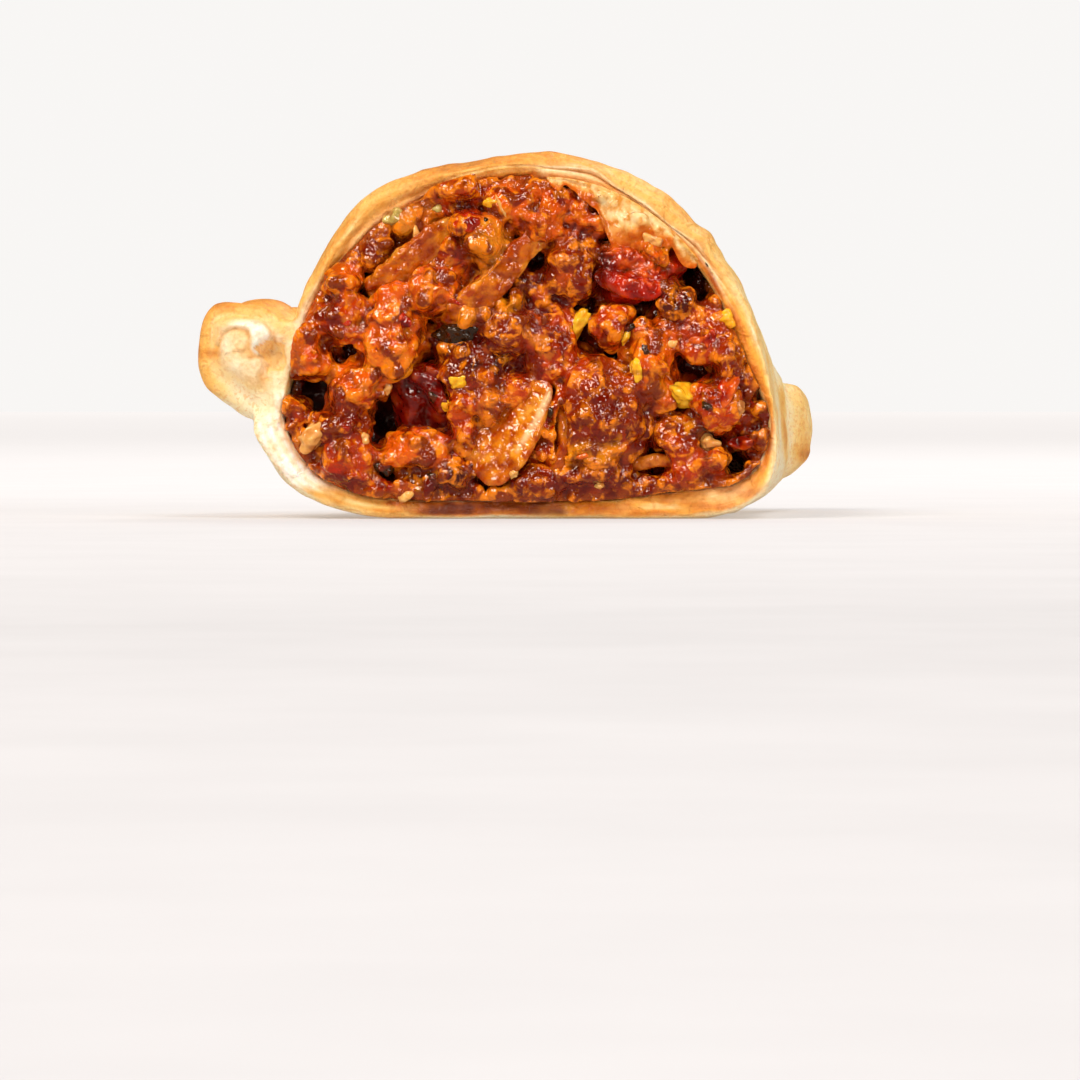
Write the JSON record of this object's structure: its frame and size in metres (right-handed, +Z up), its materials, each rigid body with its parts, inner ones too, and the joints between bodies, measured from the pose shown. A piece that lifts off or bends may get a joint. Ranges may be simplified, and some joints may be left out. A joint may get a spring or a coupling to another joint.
{
  "type": "half empanada",
  "caption": "Half of a baked pork empanada, cut across its middle: a domed parcel of dough with a rolled rope crimp, open at the cut face to its chunky meat filling.",
  "frame": {"origin": "middle of the bounding box at the height of the flat base", "axes": "+X from the rolled crimp towards the folded side, +Y from the cut face into the half, +Z up from the base to the crown"},
  "size_m": [0.0745, 0.0617, 0.0431],
  "materials": {
    "baked_dough": "golden baked wheat dough, brushed with egg and mottled; pale and layered where it is cut",
    "pork_filling": "chopped pork in a wet brick-red sauce, glossy and granular",
    "red_pepper": "cooked red pepper, wet and smooth",
    "cooked_onion": "translucent cooked onion stained with sauce"
  },
  "bodies": {
    "root": {"crust": "baked_dough", "filling": "pork_filling", "red_pepper_upper": "red_pepper", "red_pepper_lower": "red_pepper", "onion_piece": "cooked_onion", "onion_strip": "cooked_onion"}
  },
  "joints": []
}
